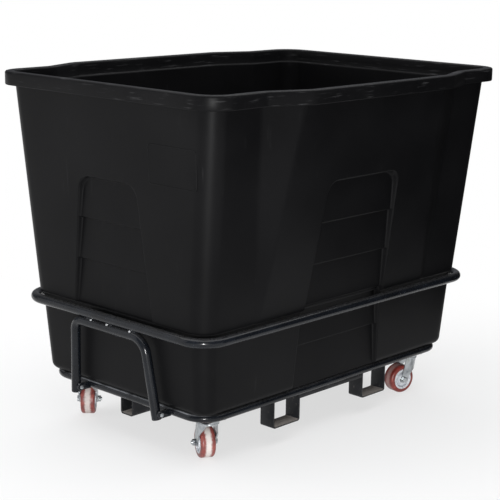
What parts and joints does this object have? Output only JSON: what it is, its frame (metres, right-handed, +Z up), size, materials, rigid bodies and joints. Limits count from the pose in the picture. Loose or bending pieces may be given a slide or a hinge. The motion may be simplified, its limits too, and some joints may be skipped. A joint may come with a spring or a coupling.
{
  "type": "waste cart",
  "caption": "Tapered plastic bulk waste tub with stepped side recesses, standing in a welded tube trolley with a bumper hoop, fork straps, tow socket and swivel castors.",
  "frame": {"origin": "On the floor under the middle of the cart, at the bottom centre of its bounding box.", "axes": "+X runs from the towing end to the rear, +Y from the left side to the right side seen facing the towing end, +Z up."},
  "size_m": [1.46, 1.15, 1.2048],
  "materials": {
    "tub_polyethylene": "semi-gloss rotomoulded black",
    "frame_paint": "satin black paint",
    "zinc_fasteners": "bright zinc plate",
    "castor_zinc": "bright zinc plate",
    "bearing_steel": "ground steel",
    "hub_iron": "light grey enamel",
    "tread_polyurethane": "cast polyurethane, dusty"
  },
  "bodies": {
    "frame": {"tub": "tub_polyethylene", "base_ring": "frame_paint", "cross_bearers": "frame_paint", "corner_plates": "frame_paint", "bumper_hoop": "frame_paint", "front_support": "frame_paint", "rear_support": "frame_paint", "support_lugs": "frame_paint", "front_left_fork_strap": "frame_paint", "front_right_fork_strap": "frame_paint", "rear_left_fork_strap": "frame_paint", "rear_right_fork_strap": "frame_paint", "left_side_bar": "frame_paint", "right_side_bar": "frame_paint", "tow_receiver": "frame_paint", "tub_bolts": "zinc_fasteners", "tub_washers": "zinc_fasteners", "tub_nuts": "zinc_fasteners", "support_bolts": "zinc_fasteners", "support_nuts": "zinc_fasteners", "castor_bolts": "zinc_fasteners", "castor_nuts": "zinc_fasteners", "swivel_balls": "bearing_steel", "front_left_castor_plate": "castor_zinc", "front_left_kingpin": "castor_zinc", "front_right_castor_plate": "castor_zinc", "front_right_kingpin": "castor_zinc", "rear_left_castor_plate": "castor_zinc", "rear_left_kingpin": "castor_zinc", "rear_right_castor_plate": "castor_zinc", "rear_right_kingpin": "castor_zinc"},
    "front_left_swivel": {"front_left_fork": "castor_zinc", "front_left_axle_bolt": "castor_zinc", "front_left_axle_nut": "castor_zinc", "front_left_axle_sleeve": "bearing_steel"},
    "front_left_wheel": {"front_left_wheel_hub": "hub_iron", "front_left_wheel_bearings": "bearing_steel", "front_left_wheel_tread": "tread_polyurethane"},
    "front_right_swivel": {"front_right_fork": "castor_zinc", "front_right_axle_bolt": "castor_zinc", "front_right_axle_nut": "castor_zinc", "front_right_axle_sleeve": "bearing_steel"},
    "front_right_wheel": {"front_right_wheel_hub": "hub_iron", "front_right_wheel_bearings": "bearing_steel", "front_right_wheel_tread": "tread_polyurethane"},
    "rear_left_swivel": {"rear_left_fork": "castor_zinc", "rear_left_axle_bolt": "castor_zinc", "rear_left_axle_nut": "castor_zinc", "rear_left_axle_sleeve": "bearing_steel"},
    "rear_left_wheel": {"rear_left_wheel_hub": "hub_iron", "rear_left_wheel_bearings": "bearing_steel", "rear_left_wheel_tread": "tread_polyurethane"},
    "rear_right_swivel": {"rear_right_fork": "castor_zinc", "rear_right_axle_bolt": "castor_zinc", "rear_right_axle_nut": "castor_zinc", "rear_right_axle_sleeve": "bearing_steel"},
    "rear_right_wheel": {"rear_right_wheel_hub": "hub_iron", "rear_right_wheel_bearings": "bearing_steel", "rear_right_wheel_tread": "tread_polyurethane"}
  },
  "joints": [
    {"name": "front_left_swivel_turn", "type": "hinge", "parent": "frame", "child": "front_left_swivel", "pos_m": [-0.5215, -0.298, 0.1305], "axis": [0, 0, 1], "continuous": true},
    {"name": "front_left_wheel_roll", "type": "hinge", "parent": "front_left_swivel", "child": "front_left_wheel", "pos_m": [-0.504, -0.26769, 0.052], "axis": [-0.866, 0.5, 0], "continuous": true},
    {"name": "front_right_swivel_turn", "type": "hinge", "parent": "frame", "child": "front_right_swivel", "pos_m": [-0.5215, 0.298, 0.1305], "axis": [0, 0, 1], "continuous": true},
    {"name": "front_right_wheel_roll", "type": "hinge", "parent": "front_right_swivel", "child": "front_right_wheel", "pos_m": [-0.49632, 0.32231, 0.052], "axis": [-0.6947, 0.7193, 0], "continuous": true},
    {"name": "rear_left_swivel_turn", "type": "hinge", "parent": "frame", "child": "rear_left_swivel", "pos_m": [0.5215, -0.298, 0.1305], "axis": [0, 0, 1], "continuous": true},
    {"name": "rear_left_wheel_roll", "type": "hinge", "parent": "rear_left_swivel", "child": "rear_left_wheel", "pos_m": [0.4874, -0.29013, 0.052], "axis": [-0.225, -0.9744, 0], "continuous": true},
    {"name": "rear_right_swivel_turn", "type": "hinge", "parent": "frame", "child": "rear_right_swivel", "pos_m": [0.5215, 0.298, 0.1305], "axis": [0, 0, 1], "continuous": true},
    {"name": "rear_right_wheel_roll", "type": "hinge", "parent": "rear_right_swivel", "child": "rear_right_wheel", "pos_m": [0.48769, 0.30706, 0.052], "axis": [-0.2588, -0.9659, 0], "continuous": true}
  ]
}
